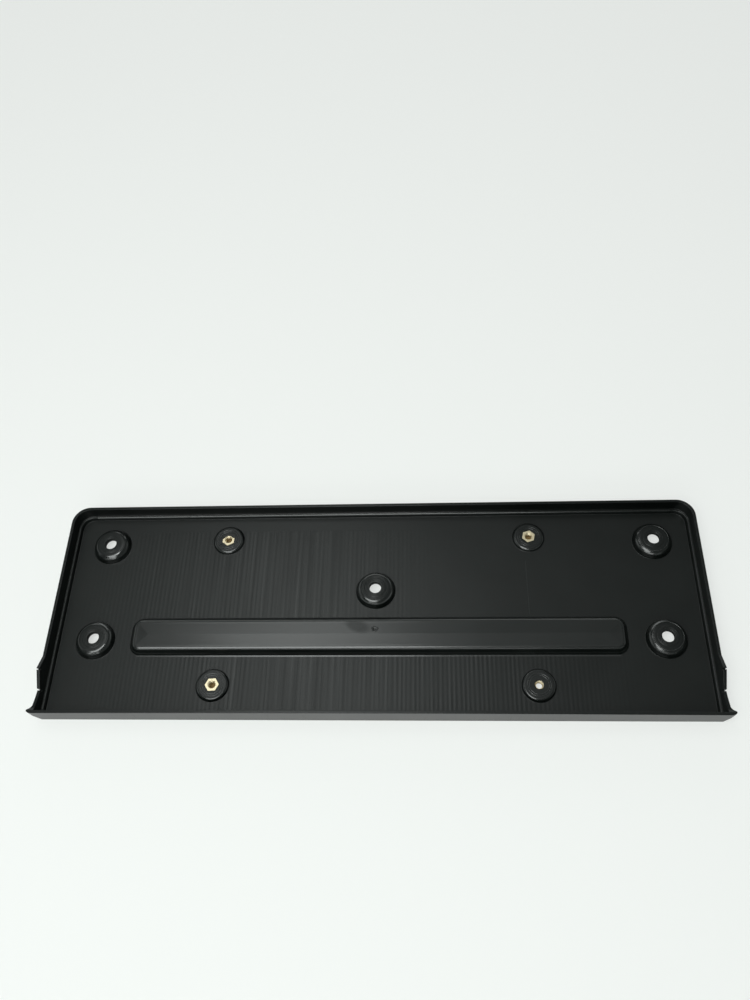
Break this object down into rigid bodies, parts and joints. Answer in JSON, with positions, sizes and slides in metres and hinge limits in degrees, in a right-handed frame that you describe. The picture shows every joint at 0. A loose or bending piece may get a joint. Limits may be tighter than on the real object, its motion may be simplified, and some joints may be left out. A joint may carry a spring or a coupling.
{
  "type": "number plate holder",
  "caption": "Black moulded tray that a number plate is bolted to, with deep edge walls, domed screw bosses, a stiffening bar and brass plate bolt inserts.",
  "frame": {"origin": "middle of the front face, the face that the number plate lies on, at the surface the holder rests on", "axes": "+X along the width, to the right as the car side is seen; +Y up the plate, from the bottom wall to the top wall; +Z out of the car side, the way the walls and bosses rise"},
  "size_m": [0.44, 0.149, 0.0196],
  "materials": {
    "black_plastic": "satin moulded, with fine tool lines on the panel",
    "insert_brass": "bright turned brass"
  },
  "bodies": {
    "root": {"holder": "black_plastic", "insert_top_left": "insert_brass", "insert_top_right": "insert_brass", "insert_bottom_left": "insert_brass", "insert_bottom_right": "insert_brass"}
  },
  "joints": []
}
